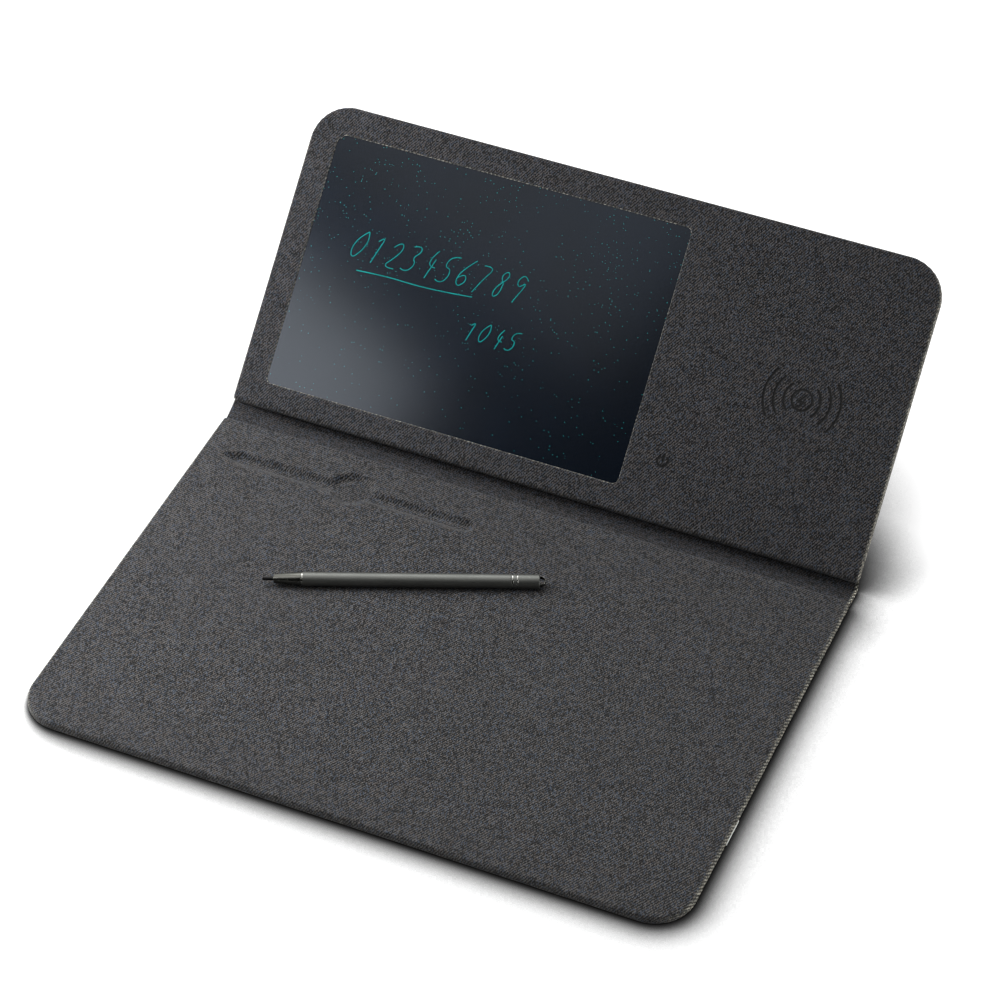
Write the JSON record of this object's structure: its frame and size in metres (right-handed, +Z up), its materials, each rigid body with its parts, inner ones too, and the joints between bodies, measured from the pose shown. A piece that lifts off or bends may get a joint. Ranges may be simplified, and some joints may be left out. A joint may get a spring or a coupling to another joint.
{
  "type": "wireless charging desk mat",
  "caption": "Folding desk mat whose raised rear panel holds a wireless charging zone and a writing screen, with a fold-out stand, a pen channel and a stylus.",
  "frame": {"origin": "centre of the lower panel's underside, on the desk", "axes": "+X along the fold to the user's right, +Y away from the user towards the raised panel, +Z up"},
  "size_m": [0.3202, 0.3344, 0.1135],
  "materials": {
    "cover_fabric": "woven melange polyester, charcoal with light and dark threads",
    "foam": "closed-cell foam",
    "board": "pressed grey board",
    "base_suede": "brushed non-slip sheet",
    "tag": "smooth folded tape",
    "lining": "plain dark lining cloth",
    "screen": "satin film over a dark liquid-crystal layer",
    "dark_plastic": "moulded, satin",
    "flex_film": "amber polyimide film",
    "circuit_board": "green solder mask",
    "chip": "black moulding compound",
    "bright_steel": "plated",
    "contact_brass": "spring strip",
    "copper": "enamelled copper wire",
    "ferrite": "sintered sheet",
    "foot_rubber": "smooth",
    "gunmetal": "satin gunmetal anodise",
    "polished_ring": "turned bright"
  },
  "bodies": {
    "mat": {"mat_fabric": "cover_fabric", "mat_foam": "foam", "mat_board": "board", "mat_base": "base_suede", "edge_tag": "tag", "spine_fabric": "cover_fabric", "spine_lining": "lining"},
    "panel": {"panel_fabric": "cover_fabric", "panel_face_board": "board", "panel_core": "foam", "panel_lining": "lining", "writing_screen": "screen", "screen_backing": "dark_plastic", "screen_flex": "flex_film", "driver_board": "circuit_board", "driver_chips": "chip", "erase_switch": "bright_steel", "battery_tray": "dark_plastic", "coin_cell": "bright_steel", "cell_contacts": "contact_brass", "battery_door": "dark_plastic", "door_screw": "bright_steel", "charging_coil": "copper", "ferrite_shield": "ferrite", "coil_leads": "copper", "charger_board": "circuit_board", "charger_chips": "chip", "usb_c_shell": "bright_steel", "usb_c_tongue": "dark_plastic", "stand_panel_leaf": "lining"},
    "stand": {"stand_flap_leaf": "lining", "stand_board": "board", "stand_cloth": "lining", "stand_foot": "foot_rubber"},
    "stylus": {"stylus_barrel": "gunmetal", "stylus_nose": "dark_plastic", "stylus_nib": "dark_plastic", "stylus_nose_ring": "polished_ring", "stylus_twin_rings": "polished_ring", "stylus_end_cap": "gunmetal"},
    "erase_key": {"erase_key": "dark_plastic"}
  },
  "joints": [
    {"name": "fold", "type": "hinge", "parent": "mat", "child": "panel", "pos_m": [0, 0.11145, 0.0068], "axis": [-1, 0, 0], "range_deg": [-132, 44], "deforming": ["spine_fabric", "spine_lining"]},
    {"name": "stand_fold", "type": "hinge", "parent": "panel", "child": "stand", "pos_m": [0, 0.18454, 0.07089], "axis": [-1, 0, 0], "range_deg": [0, 73]},
    {"name": "stylus_lift", "type": "slide", "parent": "mat", "child": "stylus", "axis": [0, -0.9207, 0.3903], "range_m": [0, 0.126]},
    {"name": "erase_press", "type": "slide", "parent": "panel", "child": "erase_key", "axis": [0, 0.6947, -0.7193], "range_m": [0, 0.00025], "stiffness_N_per_m": 150}
  ]
}
